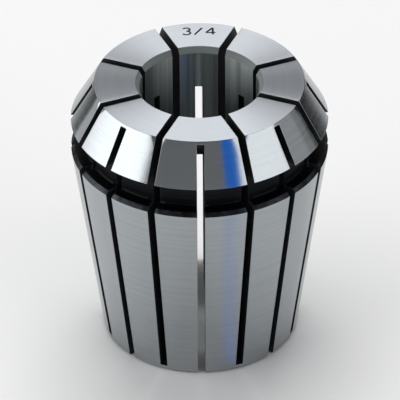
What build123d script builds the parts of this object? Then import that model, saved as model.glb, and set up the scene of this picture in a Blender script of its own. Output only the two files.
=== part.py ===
from build123d import *
import os
from math import radians, sqrt, tan

# Spring collet for a tool holder: one piece of hardened spring steel, turned, slit and ground.
# It stands on its small rear end. The origin is the centre of the rear face, and +Z runs along
# the axis to the nose face. Sizes are in millimetres and degrees.

# Body: the long taper that seats in the holder
overall_length = 46.0
largest_diameter = 41.0
body_half_angle = 8.0
rear_edge_break = 0.3

# Nose: the short steep taper that the nut presses on
nose_height = 6.6
nose_half_angle = 30.0

# Extraction groove, where the nut's ring snaps in to pull the collet out
groove_width = 4.7
groove_depth = 2.4
groove_root_radius = 0.4
shoulder_chamfer = 0.6

# Bore: holds a 3/4 inch shank
bore_diameter = 19.05
mouth_chamfer_width = 0.6
mouth_chamfer_depth = 1.0
rear_mouth_chamfer = 0.5

# Slots: two opposed sets, sawn from the two ends and set half a pitch apart
slots_per_end = 8
slot_width = 1.2
saw_diameter = 63.0
saw_overrun = 6.5
nose_web = 0.45
rear_web = 0.9

# Derived places along the axis and radii
largest_radius = largest_diameter / 2
bore_radius = bore_diameter / 2
groove_radius = largest_radius - groove_depth
saw_radius = saw_diameter / 2
groove_top = overall_length - nose_height
groove_bottom = groove_top - groove_width
taper_top = groove_bottom - shoulder_chamfer
rim_radius = largest_radius - nose_height * tan(radians(nose_half_angle))
rear_radius = largest_radius - taper_top * tan(radians(body_half_angle))

# A disc saw stands on edge in each slot's plane. It cuts through one wall, and its rim runs on
# into the bore by saw_overrun. Where it stops, its rim leaves an arc across the wall's end,
# close to the end face outside and deeper at the bore.
saw_centre_radius = bore_radius - saw_overrun + saw_radius
nose_web_radius = rim_radius + nose_web * tan(radians(nose_half_angle))
rear_web_radius = rear_radius + rear_web * tan(radians(body_half_angle))
rise_at_nose_web = sqrt(saw_radius**2 - (saw_centre_radius - nose_web_radius) ** 2)
rise_at_rear_web = sqrt(saw_radius**2 - (saw_centre_radius - rear_web_radius) ** 2)
rear_saw_stop = overall_length - nose_web - rise_at_nose_web
nose_saw_stop = rear_web + rise_at_rear_web
half_pitch = 180 / slots_per_end

# Saw pass from the rear end: the disc at its last place, and the track behind it
with BuildPart() as rear_saw_pass:
    with BuildSketch(Plane.XZ):
        with Locations((saw_centre_radius, rear_saw_stop)):
            Circle(saw_radius)
            Rectangle(saw_diameter, rear_saw_stop + saw_radius, align=(Align.CENTER, Align.MAX))
    extrude(amount=slot_width / 2, both=True)

# Saw pass from the nose end
with BuildPart() as nose_saw_pass:
    with BuildSketch(Plane.XZ):
        with Locations((saw_centre_radius, nose_saw_stop)):
            Circle(saw_radius)
            Rectangle(
                saw_diameter,
                overall_length - nose_saw_stop + saw_radius,
                align=(Align.CENTER, Align.MIN),
            )
    extrude(amount=slot_width / 2, both=True)

# Collet: the half section turned about the axis, then slit from both ends
with BuildPart() as collet:
    with BuildSketch(Plane.XZ) as half_section:
        with BuildLine():
            Polyline(
                (bore_radius + rear_mouth_chamfer, 0),
                (rear_radius, 0),
                (largest_radius, taper_top),
                (largest_radius - shoulder_chamfer, groove_bottom),
                (groove_radius, groove_bottom),
                (groove_radius, groove_top),
                (largest_radius, groove_top),
                (rim_radius, overall_length),
                (bore_radius + mouth_chamfer_width, overall_length),
                (bore_radius, overall_length - mouth_chamfer_depth),
                (bore_radius, rear_mouth_chamfer),
                close=True,
            )
        make_face()
        groove_floor_middle = (groove_radius, (groove_bottom + groove_top) / 2)
        groove_roots = half_section.vertices().sort_by_distance(groove_floor_middle)[:2]
        fillet(groove_roots, groove_root_radius)
        rear_corner = half_section.vertices().group_by(Axis.Y)[0].sort_by(Axis.X)[-1]
        chamfer(rear_corner, rear_edge_break)
    revolve(axis=Axis.Z)
    with PolarLocations(0, slots_per_end):
        add(rear_saw_pass.part, mode=Mode.SUBTRACT)
    with PolarLocations(0, slots_per_end, start_angle=half_pitch):
        add(nose_saw_pass.part, mode=Mode.SUBTRACT)

collet.part.label = "collet"
os.makedirs("parts", exist_ok=True)
export_step(collet.part, "parts/collet.step")
print("rim radius", round(rim_radius, 3), "rear radius", round(rear_radius, 3))
print("volume in cubic mm", round(collet.part.volume, 1), "solids", len(collet.part.solids()))
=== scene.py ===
# %% [markdown]
# This lesson finishes one spring collet, the slit steel sleeve that a clamping nut squeezes
# round a tool shank. Its solid is already exact, so nothing here changes its size. What is left
# is what the eye sees: edges that a workshop would have broken, the finish that each tool and
# the furnace leave, the size cut in its face, and the light that makes steel look like steel.

# %% Load the solid as a fixed frame
from math import atan2, cos, degrees, hypot, radians, sin

import bmesh
import bpy
from mathutils import Matrix, Vector


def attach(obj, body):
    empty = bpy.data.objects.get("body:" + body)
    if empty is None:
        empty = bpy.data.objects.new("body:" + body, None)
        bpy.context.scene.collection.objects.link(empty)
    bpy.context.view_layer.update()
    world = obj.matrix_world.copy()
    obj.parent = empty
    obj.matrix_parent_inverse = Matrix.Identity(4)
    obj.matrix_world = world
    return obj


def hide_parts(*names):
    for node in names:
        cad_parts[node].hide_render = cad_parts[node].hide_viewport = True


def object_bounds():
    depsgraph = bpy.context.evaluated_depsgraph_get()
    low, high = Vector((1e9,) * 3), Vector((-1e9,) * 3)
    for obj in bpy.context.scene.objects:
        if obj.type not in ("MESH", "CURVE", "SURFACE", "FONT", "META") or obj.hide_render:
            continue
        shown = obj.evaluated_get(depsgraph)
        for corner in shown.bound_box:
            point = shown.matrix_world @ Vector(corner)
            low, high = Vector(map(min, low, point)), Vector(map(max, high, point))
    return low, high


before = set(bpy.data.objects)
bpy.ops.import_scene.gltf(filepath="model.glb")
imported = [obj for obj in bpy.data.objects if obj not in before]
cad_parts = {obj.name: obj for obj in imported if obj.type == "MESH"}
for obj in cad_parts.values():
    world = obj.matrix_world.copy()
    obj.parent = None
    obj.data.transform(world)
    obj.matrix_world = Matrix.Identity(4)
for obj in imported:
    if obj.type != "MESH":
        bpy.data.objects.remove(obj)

scene = bpy.context.scene
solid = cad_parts["collet"]
cad_box = [list(corner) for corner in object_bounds()]
print("solid", len(solid.data.polygons), "triangles, box", cad_box)

# %% [markdown]
# Everything is drawn in metres, but the collet's sizes are easier to read in millimetres. The
# length is read from the solid. The other places repeat the drawing: they say where one finish
# stops and the next starts.

# %% Where each finish lies on the collet
MM = 0.001
length = cad_box[1][2]
groove_low = 34.1 * MM
shoulder_high = 34.7 * MM
groove_high = 39.4 * MM
outer_wall_radius = 15.0 * MM
bore_reach = 9.8 * MM
mouth_reach = 10.6 * MM
face_depth = 0.05 * MM
slot_spacing = 45.0
print("length", round(length / MM, 2), "mm, groove", groove_low / MM, "to", groove_high / MM, "mm")

# %% [markdown]
# Colours are written as sRGB hex values, as a paint chart gives them, and turned to the linear
# values that a shader adds up. One small function adds a node, so each material reads as a list
# of what is joined to what.

# %% Colour and node helpers
def linear(hex_colour):
    """An sRGB hex colour as the linear RGBA that a shader socket takes."""
    channels = [int(hex_colour[i:i + 2], 16) / 255 for i in (1, 3, 5)]
    return [c / 12.92 if c <= 0.04045 else ((c + 0.055) / 1.055) ** 2.4 for c in channels] + [1]


def add_node(tree, kind, settings=None, **inputs):
    """A new node with its settings, and its inputs set to values or joined to outputs.

    An input goes by its name, or by an underscore and its number where names repeat.
    """
    node = tree.nodes.new(kind)
    for name, value in (settings or {}).items():
        setattr(node, name, value)
    for name, value in inputs.items():
        key = int(name[1:]) if name[0] == "_" else name.replace("_", " ")
        socket = node.inputs[key]
        if isinstance(value, bpy.types.NodeSocket):
            tree.links.new(value, socket)
        else:
            socket.default_value = value
    return node


def new_material(name, metallic=1.0):
    """A node material with its shader joined to its output."""
    material = bpy.data.materials.new(name)
    material.use_nodes = True
    tree = material.node_tree
    tree.nodes.clear()
    shader = add_node(tree, "ShaderNodeBsdfPrincipled", Metallic=metallic)
    add_node(tree, "ShaderNodeOutputMaterial", Surface=shader.outputs["BSDF"])
    return material, tree, shader


# %% [markdown]
# Every tool leaves its own lines. A lathe or a grinding wheel leaves fine rings round the axis,
# 0.02 to 0.05 mm apart, too fine to show in a picture of the whole collet, so they are drawn
# coarser, at 0.3 mm. They could be modelled as grooves, or drawn as straight stripes. Here they
# are a noise that is squeezed across the lines and stretched along them, so no two are alike.

# %% Lines that a tool leaves
line_spacing = 0.3 * MM
line_length = 120.0 * MM
line_detail = 4.0


def axes_and_radius(tree):
    """The place on the piece as X, Y and Z outputs, and its distance from the axis."""
    place = add_node(tree, "ShaderNodeTexCoord")
    axes = add_node(tree, "ShaderNodeSeparateXYZ", Vector=place.outputs["Object"])
    flat = add_node(
        tree, "ShaderNodeCombineXYZ", X=axes.outputs["X"], Y=axes.outputs["Y"]
    )
    radius = add_node(
        tree, "ShaderNodeVectorMath", {"operation": "LENGTH"}, _0=flat.outputs["Vector"]
    )
    return axes, radius.outputs["Value"]


def lines(tree, axes, across):
    """A noise from 0 to 1 whose lines lie side by side along the coordinate across."""
    drawn = add_node(
        tree, "ShaderNodeCombineXYZ",
        X=axes.outputs["X"], Y=axes.outputs["Y"], Z=across.outputs["Value"],
    )
    squeezed = add_node(
        tree, "ShaderNodeVectorMath", {"operation": "MULTIPLY"},
        _0=drawn.outputs["Vector"], _1=(1 / line_length, 1 / line_length, 1 / line_spacing),
    )
    noise = add_node(
        tree, "ShaderNodeTexNoise",
        Vector=squeezed.outputs["Vector"], Scale=1.0, Detail=line_detail,
    )
    return noise.outputs["Fac"]


# %% [markdown]
# For the rings, height less radius is the coordinate across the lines, because it changes along
# a taper, a flat face and a bore alike. A disc saw leaves arcs instead, each the shape of its
# rim where it stood for one tooth's bite. The slots that open at the foot were cut by the saw's
# upper rim and those that open at the nose by its lower rim, so their arcs curve opposite ways.
# A hone drawn out of a bore leaves streaks along the axis. A skin that no tool has drawn gets a
# grain, in patches of one real size.

# %% Rings, saw arcs, streaks and grain
saw_radius = 31.5 * MM
saw_centre = 34.5 * MM
upper_rim = 1
lower_rim = -1
streak_width = 0.8 * MM
streak_detail = 3.0
grain_detail = 5.0


def ring_lines(tree):
    """The lines of a lathe or wheel, round the axis."""
    axes, radius = axes_and_radius(tree)
    across = add_node(
        tree, "ShaderNodeMath", {"operation": "SUBTRACT"}, _0=axes.outputs["Z"], _1=radius
    )
    return lines(tree, axes, across)


def saw_lines(tree, rim_side):
    """The arcs of a disc saw, whose upper or lower rim did the cutting."""
    axes, radius = axes_and_radius(tree)
    aside = add_node(
        tree, "ShaderNodeMath", {"operation": "SUBTRACT"}, _0=saw_centre, _1=radius
    )
    aside_squared = add_node(
        tree, "ShaderNodeMath", {"operation": "POWER"}, _0=aside.outputs["Value"], _1=2.0
    )
    rise_squared = add_node(
        tree, "ShaderNodeMath", {"operation": "SUBTRACT"},
        _0=saw_radius ** 2, _1=aside_squared.outputs["Value"],
    )
    rise = add_node(
        tree, "ShaderNodeMath", {"operation": "SQRT"}, _0=rise_squared.outputs["Value"]
    )
    across = add_node(
        tree, "ShaderNodeMath", {"operation": "MULTIPLY_ADD"},
        _0=rise.outputs["Value"], _1=-rim_side, _2=axes.outputs["Z"],
    )
    return lines(tree, axes, across)


def drawn_streaks(tree):
    """The streaks along the axis that a hone leaves as it is drawn out of the bore."""
    place = add_node(tree, "ShaderNodeTexCoord")
    squeezed = add_node(
        tree, "ShaderNodeVectorMath", {"operation": "MULTIPLY"},
        _0=place.outputs["Object"], _1=(1 / streak_width, 1 / streak_width, 1 / line_length),
    )
    noise = add_node(
        tree, "ShaderNodeTexNoise",
        Vector=squeezed.outputs["Vector"], Scale=1.0, Detail=streak_detail,
    )
    return noise.outputs["Fac"]


def grain(tree, size):
    """A noise from 0 to 1 with patches of one real size."""
    place = add_node(tree, "ShaderNodeTexCoord")
    noise = add_node(
        tree, "ShaderNodeTexNoise",
        Vector=place.outputs["Object"], Scale=1 / size, Detail=grain_detail,
    )
    return noise.outputs["Fac"]


# %% [markdown]
# A finish made by a tool shows its lines in three ways: tone and shine change from line to line,
# and the surface is a few thousandths of a millimetre deep or less. A noise rarely leaves its
# middle range, so that range is spread over the whole change.

# %% Tone, shine and depth from a pattern
noise_low = 0.3
noise_high = 0.7


def spread_over(tree, pattern, low, high):
    """A pattern's middle range spread from low to high."""
    spread = add_node(
        tree, "ShaderNodeMapRange", Value=pattern,
        From_Min=noise_low, From_Max=noise_high, To_Min=low, To_Max=high,
    )
    return spread.outputs["Result"]


def tone(tree, pattern, dark_hex, light_hex):
    """A colour that goes from a darker to a lighter tone with a pattern."""
    # A Mix node takes colours at its inputs 6 and 7, and gives the mixed one at its output 2
    mixed = add_node(
        tree, "ShaderNodeMix", {"data_type": "RGBA"},
        _0=spread_over(tree, pattern, 0.0, 1.0), _6=linear(dark_hex), _7=linear(light_hex),
    )
    return mixed.outputs[2]


def shine_and_depth(tree, shader, pattern, roughness, change, depth):
    """Let a pattern vary the roughness, and give it a depth in metres."""
    shine = spread_over(tree, pattern, roughness - change, roughness + change)
    tree.links.new(shine, shader.inputs["Roughness"])
    relief = add_node(tree, "ShaderNodeBump", Height=pattern, Strength=1.0, Distance=depth)
    tree.links.new(relief.outputs["Normal"], shader.inputs["Normal"])


# %% [markdown]
# The two tapers are ground after hardening, the brightest steel here. The end faces are faced in
# a lathe and a little duller. The bore is honed, and looks dark because it sees mostly itself.
# As the hone is drawn out, it leaves streaks along the bore. They are finer than a hair, so they
# are drawn coarser, at 0.8 mm.
# Their rings draw each reflection out across them, from foot to nose on a taper and along the
# radius on a face. That is anisotropy, with a tangent that runs round the axis.

# %% Bright steel: tapers, end faces and bore
ring_depth = 0.001 * MM
quarter_turn = 0.25


def bright_steel(name, dark_hex, light_hex, roughness, change, drawn_out, streaks=None):
    """Steel with rings: drawn_out is the anisotropy, and streaks may take over the tone."""
    material, tree, shader = new_material(name)
    rings = ring_lines(tree)
    toned = streaks(tree) if streaks else rings
    tree.links.new(tone(tree, toned, dark_hex, light_hex), shader.inputs["Base Color"])
    shader.inputs["Anisotropic"].default_value = drawn_out
    shader.inputs["Anisotropic Rotation"].default_value = quarter_turn
    round_axis = add_node(tree, "ShaderNodeTangent", {"direction_type": "RADIAL", "axis": "Z"})
    tree.links.new(round_axis.outputs["Tangent"], shader.inputs["Tangent"])
    shine_and_depth(tree, shader, rings, roughness, change, ring_depth)
    return material


# Ground steel: near-mirror round the axis, softer from foot to nose
ground = bright_steel(
    "ground_spring_steel", "#9CA1A4", "#A8ADB0", roughness=0.20, change=0.03, drawn_out=0.85
)
# Faced steel: pale satin, a fan of light that widens from the bore
faced = bright_steel(
    "faced_steel", "#A4A8AD", "#B2B6BB", roughness=0.40, change=0.06, drawn_out=0.9
)
# Honed steel: grey satin with faint streaks along the bore, dark where it sees itself
honed = bright_steel(
    "honed_bore_steel", "#8A9192", "#BEC5C6", roughness=0.42, change=0.06, drawn_out=0.9,
    streaks=drawn_streaks,
)
print("bright finishes", ground.name, faced.name, honed.name)

# %% [markdown]
# The collet is slit and turned first and hardened after, so what isn't ground keeps the skin of
# the furnace. It is grey-green and matt on the chamfers at the bore's mouths, black in the
# groove, at its roots and at the slots' ends, grey-black on the slot walls, and worn through to
# grey on the shoulder that the nut's ring rubs. The size is burnt in, so it is matt charcoal.
# None is one flat colour: each goes from a darker to a lighter tone with its own pattern.

# %% Dull steel: chamfers, groove, shoulder, slot walls and size mark
skin_depth = 0.004 * MM
wear_patch = 1.2 * MM
burn_grain = 0.25 * MM


def dull_steel(name, dark_hex, light_hex, pattern, roughness, change, metallic=1.0):
    """Steel that kept its skin: pattern is a function that draws it in the material."""
    material, tree, shader = new_material(name, metallic)
    drawn = pattern(tree)
    tree.links.new(tone(tree, drawn, dark_hex, light_hex), shader.inputs["Base Color"])
    shine_and_depth(tree, shader, drawn, roughness, change, skin_depth)
    return material


# Tempered skin: matt grey-green, equally dark all round
tempered = dull_steel(
    "tempered_chamfer_skin", "#6B7270", "#7D8482", ring_lines,
    roughness=0.70, change=0.05, metallic=0.0,
)
# Furnace scale: near black with faint turned rings, almost no sheen
scale = dull_steel(
    "furnace_scale", "#131416", "#242528", ring_lines, roughness=0.50, change=0.08
)
# Worn scale: dark satin with greyer patches that catch the light
worn = dull_steel(
    "worn_shoulder_scale", "#292B2F", "#46494E", lambda tree: grain(tree, wear_patch),
    roughness=0.42, change=0.06,
)
# Sawn wall: dark grey with a dull shine, black where the slot is deep
sawn_from_foot = dull_steel(
    "sawn_slot_from_foot", "#35383A", "#4D5053", lambda tree: saw_lines(tree, upper_rim),
    roughness=0.65, change=0.05,
)
sawn_from_nose = dull_steel(
    "sawn_slot_from_nose", "#35383A", "#4D5053", lambda tree: saw_lines(tree, lower_rim),
    roughness=0.65, change=0.05,
)
# Burnt marking: matt charcoal with a fine crust
burnt = dull_steel(
    "burnt_size_mark", "#17181B", "#242529", lambda tree: grain(tree, burn_grain),
    roughness=0.70, change=0.05, metallic=0.0,
)
finishes = [ground, faced, honed, tempered, sawn_from_foot, sawn_from_nose, worn, scale]
print("finishes", [material.name for material in finishes], "and", burnt.name)

# %% [markdown]
# The piece keeps its own form. So the solid's triangles are copied, and those that lie in one
# plane are joined, to give each facet one face. A rebuilt copy could drift from the solid.

# %% Copy the solid's surface and join its loose triangles
merge_distance = 0.001 * MM
flat_tolerance = radians(0.05)
skin = solid.data.copy()
skin.name = "steel_collet"
for layer in [a for a in skin.attributes if a.name == "custom_normal"]:
    skin.attributes.remove(layer)
surface = bmesh.new()
surface.from_mesh(skin)
bmesh.ops.remove_doubles(surface, verts=surface.verts, dist=merge_distance)
bmesh.ops.dissolve_limit(
    surface, angle_limit=flat_tolerance, verts=surface.verts, edges=surface.edges
)
open_edges = [edge for edge in surface.edges if not edge.is_manifold]
print("joined surface", len(surface.faces), "faces,", len(open_edges), "open edges")

# %% [markdown]
# Which finish a face gets follows from where it lies and how it faces. Facing is measured from
# the axis: 1 is straight out, as on a rod, 0 is up or sideways, and -1 is straight in, as in a
# bore. The steep nose still faces out by 0.87 and the shoulder by 0.71, while the arc where a
# slot ends near the foot faces out by 0.62 at most, so a limit between them tells them apart.

# %% Give each face its finish
wall_facing = 0.5
face_facing = 0.95
bore_facing = -0.95
mouth_facing = -0.4
taper_facing = 0.8
shoulder_facing = 0.65


def finish_at(face):
    """The finish of a face, from where it lies and how it faces."""
    x, y, height = face.calc_center_median()
    radius = hypot(x, y)
    outward = (face.normal.x * x + face.normal.y * y) / radius
    sideways = abs(face.normal.x * y - face.normal.y * x) / radius
    outside = radius > outer_wall_radius
    if sideways > wall_facing:
        # Slots from the foot lie at each eighth turn, and slots from the nose between them
        past_slot = degrees(atan2(x, -y)) % slot_spacing
        from_foot = min(past_slot, slot_spacing - past_slot) < slot_spacing / 4
        return sawn_from_foot if from_foot else sawn_from_nose
    if abs(face.normal.z) > face_facing and not face_depth < height < length - face_depth:
        return faced
    if outward < bore_facing and radius < bore_reach:
        return honed
    if outward < mouth_facing and radius < mouth_reach:
        return tempered
    if outward > taper_facing and outside and not groove_low < height < groove_high:
        return ground
    if outward > shoulder_facing and outside and height < shoulder_high:
        return worn
    return scale


for face in surface.faces:
    face.smooth = True
    face.material_index = finishes.index(finish_at(face))
for number, material in enumerate(finishes):
    print(material.name, sum(face.material_index == number for face in surface.faces), "faces")

# %% [markdown]
# A real collet has no knife edges: each is stoned until it is about 0.05 mm round, and that
# band catches the light. A shader could fake it, but the mesh would still be sharp. So every
# edge over 30 degrees is bevelled. The groove's rounded roots bend less and stay as they are,
# and so does the odd edge that is too short for a band. What is left smaller than 0.01 mm is
# closed up, because a sliver has no clear direction and would shade as a dark speck.

# %% Break the sharp edges
edge_break = 0.05 * MM
band_segments = 2
sharp_angle = radians(30.5)
shortest_broken = 0.1 * MM
sliver = 0.01 * MM
sharp = [
    edge for edge in surface.edges
    if edge.calc_face_angle() > sharp_angle and edge.calc_length() > shortest_broken
]
bmesh.ops.bevel(
    surface, geom=sharp, offset=edge_break, offset_type="OFFSET", affect="EDGES",
    segments=band_segments, profile=0.5, material=-1, clamp_overlap=False,
)
bmesh.ops.dissolve_degenerate(surface, dist=sliver, edges=surface.edges)
print("edges broken", len(sharp), "volume mm3", round(surface.calc_volume() / MM**3, 1))

# %% Make the piece
skin.materials.clear()
for material in finishes:
    skin.materials.append(material)
surface.to_mesh(skin)
surface.free()
piece = bpy.data.objects.new("steel_collet", skin)
scene.collection.objects.link(piece)
print("piece", piece.name, len(skin.polygons), "faces")

# %% [markdown]
# The nose face is marked with the bore in inches, three quarters. It could be a picture laid on
# the face, but then it would have no depth. Here a round cutter follows plain strokes, half sunk
# in the face, and is taken away from the steel, as an engraver's point would do it.

# %% Plan the strokes of the size mark, in millimetres
arc_steps = 14


def arc(x, y, across, up, start, end):
    """Points along part of an ellipse, from one angle in degrees to another."""
    turns = [radians(start + (end - start) * i / arc_steps) for i in range(arc_steps + 1)]
    return [(x + across * cos(turn), y + up * sin(turn)) for turn in turns]


strokes = [
    arc(-1.94, 14.84, 0.56, 0.46, 155, -90),
    arc(-1.90, 13.88, 0.62, 0.50, 90, -155),
    [(-0.62, 13.38), (0.60, 15.30)],
    [(2.32, 15.30), (1.22, 13.94)],
    [(1.22, 13.94), (2.74, 13.94)],
    [(2.32, 15.30), (2.32, 13.38)],
]
print("strokes", len(strokes))

# %% Turn the strokes into a round cutter
stroke_radius = 0.17 * MM
cutter_roundness = 2
path = bpy.data.curves.new("size_mark_path", "CURVE")
path.dimensions = "3D"
path.bevel_depth = stroke_radius
path.bevel_resolution = cutter_roundness
path.use_fill_caps = True
for points in strokes:
    line = path.splines.new("POLY")
    line.points.add(len(points) - 1)
    for point, (x, y) in zip(line.points, points):
        point.co = (x * MM, y * MM, length, 1)
drawn = bpy.data.objects.new("size_mark_path", path)
scene.collection.objects.link(drawn)
ready = bpy.context.evaluated_depsgraph_get()
cutter_mesh = bpy.data.meshes.new_from_object(drawn.evaluated_get(ready))
cutter_mesh.materials.clear()
cutter_mesh.materials.append(burnt)
cutter = bpy.data.objects.new("size_mark_cutter", cutter_mesh)
scene.collection.objects.link(cutter)
print("cutter faces", len(cutter_mesh.polygons))

# %% Cut the size mark
engraved = piece.modifiers.new("size_mark", "BOOLEAN")
engraved.operation = "DIFFERENCE"
engraved.solver = "EXACT"
engraved.use_self = True
engraved.material_mode = "TRANSFER"
engraved.object = cutter
ready = bpy.context.evaluated_depsgraph_get()
cut_skin = bpy.data.meshes.new_from_object(piece.evaluated_get(ready))
piece.modifiers.clear()
piece.data = cut_skin
for helper in (cutter, drawn):
    bpy.data.objects.remove(helper)
print("cut surface", len(cut_skin.polygons), "faces")

# %% [markdown]
# The cut leaves slivers round the strokes, and faces with hundreds of corners, which other
# programs may split badly. So the slivers are closed up and faces of more than four corners are
# split into triangles. The rim of each stroke is kept crisp.

# %% Clean the cut surface
burnt_number = cut_skin.materials.find(burnt.name)
most_corners = 4
surface = bmesh.new()
surface.from_mesh(cut_skin)
bmesh.ops.dissolve_degenerate(surface, dist=sliver, edges=surface.edges)
many_sided = [face for face in surface.faces if len(face.verts) > most_corners]
bmesh.ops.triangulate(surface, faces=many_sided)
for edge in surface.edges:
    numbers = {face.material_index for face in edge.link_faces}
    edge.smooth = not (burnt_number in numbers and len(numbers) > 1)
open_edges = [edge for edge in surface.edges if not edge.is_manifold]
print("open edges", len(open_edges), "volume mm3", round(surface.calc_volume() / MM**3, 1))
surface.to_mesh(cut_skin)
surface.free()

# %% [markdown]
# The facets are wide and the broken edges narrow. Shading weighted by area keeps the facets'
# light even and lets only the narrow bands turn, which is how a stoned edge looks.

# %% Even out the shading and put the piece in the frame
area_weight = 50
shading = piece.modifiers.new("even_shading", "WEIGHTED_NORMAL")
shading.mode = "FACE_AREA"
shading.weight = area_weight
shading.keep_sharp = True
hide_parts("collet")
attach(piece, "root")
print("piece", piece.name, len(cut_skin.polygons), "faces")

# %% [markdown]
# The collet stands on a wide sheet of matt, near-white paper. More light would make the paper
# whiter, but the steel too bright, so the paper glows very slightly instead, where the camera
# or the steel sees it. The glow fades out within 50 mm of the axis, which keeps the soft shadow
# at the foot and adds painted shade there: the paper that the body mirrors near its foot stays
# darker than the rest.

# %% Floor
floor_half_side = 6.0
floor_gap = 0.02 * MM
floor_mesh = bpy.data.meshes.new("floor")
sheet = bmesh.new()
bmesh.ops.create_grid(sheet, x_segments=1, y_segments=1, size=floor_half_side)
sheet.to_mesh(floor_mesh)
sheet.free()
floor = bpy.data.objects.new("floor", floor_mesh)
floor.location.z = -floor_gap
scene.collection.objects.link(floor)
print("floor", 2 * floor_half_side, "m wide")

# %% Paper
# Matt paper: near-white without a gloss, with painted shade round the foot where its glow fades
floor_lift = 0.05
painted_shade_reach = 15 * MM
white_from = 50 * MM
paper_roughness = 0.9
paper, tree, shader = new_material("pale_paper_floor", metallic=0.0)
paper.cycles.emission_sampling = "NONE"
shader.inputs["Base Color"].default_value = linear("#F2F2F2")
shader.inputs["Roughness"].default_value = paper_roughness
shader.inputs["Emission Color"].default_value = linear("#FFFFFF")
ray = add_node(tree, "ShaderNodeLightPath")
seen = add_node(
    tree, "ShaderNodeMath", {"operation": "ADD"},
    _0=ray.outputs["Is Camera Ray"], _1=ray.outputs["Is Glossy Ray"],
)
seen_or_through = add_node(
    tree, "ShaderNodeMath", {"operation": "ADD"},
    _0=seen.outputs["Value"], _1=ray.outputs["Is Transmission Ray"],
)
place = add_node(tree, "ShaderNodeTexCoord")
reach = add_node(
    tree, "ShaderNodeVectorMath", {"operation": "LENGTH"}, _0=place.outputs["Object"]
)
# Painted shade: no glow within reach of the foot, so the paper there stays darker
fading = add_node(
    tree, "ShaderNodeMapRange", {"interpolation_type": "SMOOTHSTEP"},
    Value=reach.outputs["Value"],
    From_Min=painted_shade_reach, From_Max=white_from, To_Min=0.0, To_Max=floor_lift,
)
lift = add_node(
    tree, "ShaderNodeMath", {"operation": "MULTIPLY"},
    _0=seen_or_through.outputs["Value"], _1=fading.outputs["Result"],
)
tree.links.new(lift.outputs["Value"], shader.inputs["Emission Strength"])
floor_mesh.materials.append(paper)
print("floor finish", paper.name)

# %% [markdown]
# Polished steel has no colour of its own to show: it shows the room. The overhead box, above
# and behind, lights the end face. The left one whitens the nose's left side and the right one
# its right side, and a weak one further round softens the step to its dark end. No lamp stands
# in front, so the front of the nose mirrors the dim room and goes grey. Together they light a
# matt surface at about its own colour.

# %% Softboxes
middle = Vector((0, 0, length / 2))
watts_per_radiance = 4


def towards(azimuth, elevation):
    """The direction to a place in the room: azimuth from the front to the right, in degrees."""
    turn, tilt = radians(azimuth), radians(elevation)
    return Vector((sin(turn) * cos(tilt), -cos(turn) * cos(tilt), sin(tilt)))


def softbox(name, azimuth, elevation, distance, width, height, radiance):
    """A soft rectangular lamp that faces the collet, seen in the steel as a bright panel."""
    lamp = bpy.data.lights.new(name, "AREA")
    lamp.shape = "RECTANGLE"
    lamp.size = width
    lamp.size_y = height
    lamp.energy = watts_per_radiance * width * height * radiance
    box = bpy.data.objects.new(name, lamp)
    away = towards(azimuth, elevation)
    box.location = middle + away * distance
    box.rotation_euler = away.to_track_quat("Z", "Y").to_euler()
    scene.collection.objects.link(box)


softbox(
    "overhead_softbox", azimuth=180, elevation=62, distance=1.1,
    width=0.80, height=0.8, radiance=2.8,
)
softbox(
    "left_softbox", azimuth=-84, elevation=18, distance=1.0,
    width=1.25, height=0.6, radiance=2.05,
)
softbox(
    "right_softbox", azimuth=57, elevation=20, distance=1.0,
    width=0.80, height=0.5, radiance=1.4,
)
softbox(
    "far_right_softbox", azimuth=90, elevation=12, distance=1.0,
    width=0.45, height=0.6, radiance=0.2,
)

# %% Dim room
room_strength = 0.30
world = bpy.data.worlds.new("dim_room")
scene.world = world
world.use_nodes = True
tree = world.node_tree
tree.nodes.clear()
room = add_node(
    tree, "ShaderNodeBackground", Color=linear("#FFFFFF"), Strength=room_strength
)
add_node(tree, "ShaderNodeOutputWorld", Surface=room.outputs["Background"])
print("room", world.name)

# %% [markdown]
# A photographer puts cards round polished steel, because the steel mirrors them. A tall blue
# one to the right of the camera glows with its own blue light and gives the streak down the
# front of the nose. Two low black ones behind the collet darken the nose towards its sides, and
# one hung in front, above the camera's view, blackens the shoulder: they are painted shade, dark
# sheets that only the steel mirrors. All are close, so that they hide the white floor or the
# pale room from the steel. They are left out of everything but reflections: they can't come
# between the camera and the collet, and they cast no shadow and no colour on it.

# %% A sheet for the steel to mirror
sheet_gap = 0.2 * MM
half_metre = 0.5


def mirrored_sheet(
    name, azimuth, distance, width, height, material, upright=True, lift=sheet_gap
):
    """An upright or flat sheet, whose near edge lies at a distance from the axis."""
    mesh = bpy.data.meshes.new(name)
    sheet = bmesh.new()
    bmesh.ops.create_grid(sheet, x_segments=1, y_segments=1, size=half_metre)
    bmesh.ops.scale(sheet, vec=(width, height, 1), verts=sheet.verts)
    bmesh.ops.translate(sheet, vec=(0, -height / 2, 0), verts=sheet.verts)
    if upright:
        bmesh.ops.rotate(sheet, matrix=Matrix.Rotation(radians(-90), 3, "X"), verts=sheet.verts)
    bmesh.ops.translate(sheet, vec=(0, -distance, lift), verts=sheet.verts)
    bmesh.ops.rotate(
        sheet, matrix=Matrix.Rotation(radians(azimuth), 3, "Z"), verts=sheet.verts
    )
    sheet.to_mesh(mesh)
    sheet.free()
    mesh.materials.append(material)
    stand = bpy.data.objects.new(name, mesh)
    stand.visible_camera = False
    stand.visible_diffuse = False
    stand.visible_shadow = False
    scene.collection.objects.link(stand)


# %% Glowing blue card and black cards of painted shade
def without_gloss(name, base_hex, glow_hex="#000000", glow=0.0):
    """A material that shows one even colour from every side."""
    material, tree, shader = new_material(name, metallic=0.0)
    shader.inputs["Base Color"].default_value = linear(base_hex)
    shader.inputs["Specular IOR Level"].default_value = 0.0
    shader.inputs["Emission Color"].default_value = linear(glow_hex)
    shader.inputs["Emission Strength"].default_value = glow
    return material, tree, shader
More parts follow.
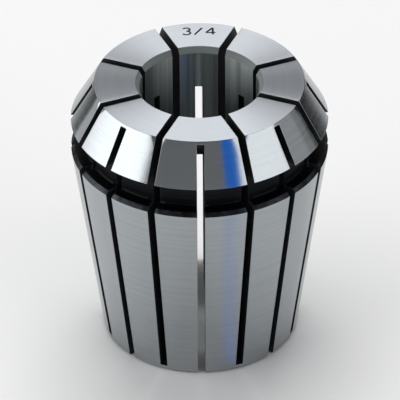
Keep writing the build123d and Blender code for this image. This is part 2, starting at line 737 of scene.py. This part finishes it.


# Blue card: glows with its own even blue. Black card: painted shade, almost no light comes back
blue_glow = without_gloss("blue_card_glow", "#000000", glow_hex="#0078E7", glow=1.25)[0]
reflected_shade_black = without_gloss("black_painted_shade_card", "#181818")[0]
mirrored_sheet(
    "glowing_blue_card", azimuth=27.5, distance=0.3, width=0.066, height=0.26, material=blue_glow
)
mirrored_sheet(
    "high_shade_card", azimuth=0, distance=0.08, width=0.5, height=0.28, material=reflected_shade_black,
    upright=False, lift=0.3,
)
mirrored_sheet(
    "right_shade_card", azimuth=139, distance=0.2, width=0.24, height=0.12, material=reflected_shade_black
)
mirrored_sheet(
    "left_shade_card", azimuth=-140, distance=0.2, width=0.108, height=0.06, material=reflected_shade_black
)

# %% [markdown]
# The streak runs on down the body, but the body mirrors the paper near its foot and not the
# card. So a clear film with a faint blue glow lies there, a painted reflection of the blue card
# that only the steel sees. The glow is a narrow fan that starts near the axis, which the curved
# body turns into a streak of even width.

# %% Glowing blue film on the paper, a painted reflection
painted_streak_azimuth = 26
fan_start = 4.7 * MM
fan_faded_at = 0.19
painted_streak_strength = 0.25
# A painted reflection: a faint blue glow that the body mirrors as its streak
painted_streak_glow, tree, shader = without_gloss(
    "painted_blue_streak_glow", "#000000", glow_hex="#82A9FF", glow=1.2
)
place = add_node(tree, "ShaderNodeTexCoord")
fan = add_node(
    tree, "ShaderNodeMapping", {"vector_type": "TEXTURE"}, Vector=place.outputs["Object"],
    Location=(0, -fan_start, 0), Rotation=(0, 0, radians(painted_streak_azimuth)),
)
fan_axes = add_node(tree, "ShaderNodeSeparateXYZ", Vector=fan.outputs["Vector"])
slope = add_node(
    tree, "ShaderNodeMath", {"operation": "DIVIDE"},
    _0=fan_axes.outputs["X"], _1=fan_axes.outputs["Y"],
)
off_middle = add_node(
    tree, "ShaderNodeMath", {"operation": "ABSOLUTE"}, _0=slope.outputs["Value"]
)
faded = add_node(
    tree, "ShaderNodeMapRange", {"interpolation_type": "SMOOTHSTEP"},
    Value=off_middle.outputs["Value"],
    From_Min=0.0, From_Max=fan_faded_at, To_Min=painted_streak_strength, To_Max=0.0,
)
tree.links.new(faded.outputs["Result"], shader.inputs["Alpha"])
mirrored_sheet(
    "painted_blue_streak", azimuth=painted_streak_azimuth, distance=0.017, width=0.045, height=0.056,
    material=painted_streak_glow, upright=False,
)
print("painted_streak_glow", painted_streak_glow.name)

# %% [markdown]
# The camera stands where the photographer stood: nearly a metre away, a third of the way up
# the sky, with a long lens. Its place was found from the outline of the collet in the photo.

# %% Camera
photo_side = 400
focal_pixels = 5603.5
camera_distance = 0.9
camera_elevation = 35.35
camera_azimuth = -0.425
camera_roll = -0.343
sensor = 36.0
lens = bpy.data.cameras.new("photo_camera")
lens.sensor_width = sensor
lens.lens = focal_pixels / photo_side * sensor
camera = bpy.data.objects.new("photo_camera", lens)
away = towards(camera_azimuth, camera_elevation)
camera.location = middle + away * camera_distance
level = away.to_track_quat("Z", "Y").to_matrix()
camera.rotation_euler = (level @ Matrix.Rotation(radians(camera_roll), 3, "Z")).to_euler()
scene.collection.objects.link(camera)
scene.camera = camera
scene.view_settings.view_transform = "Standard"
print("lens", round(lens.lens), "mm at", camera_distance, "m")
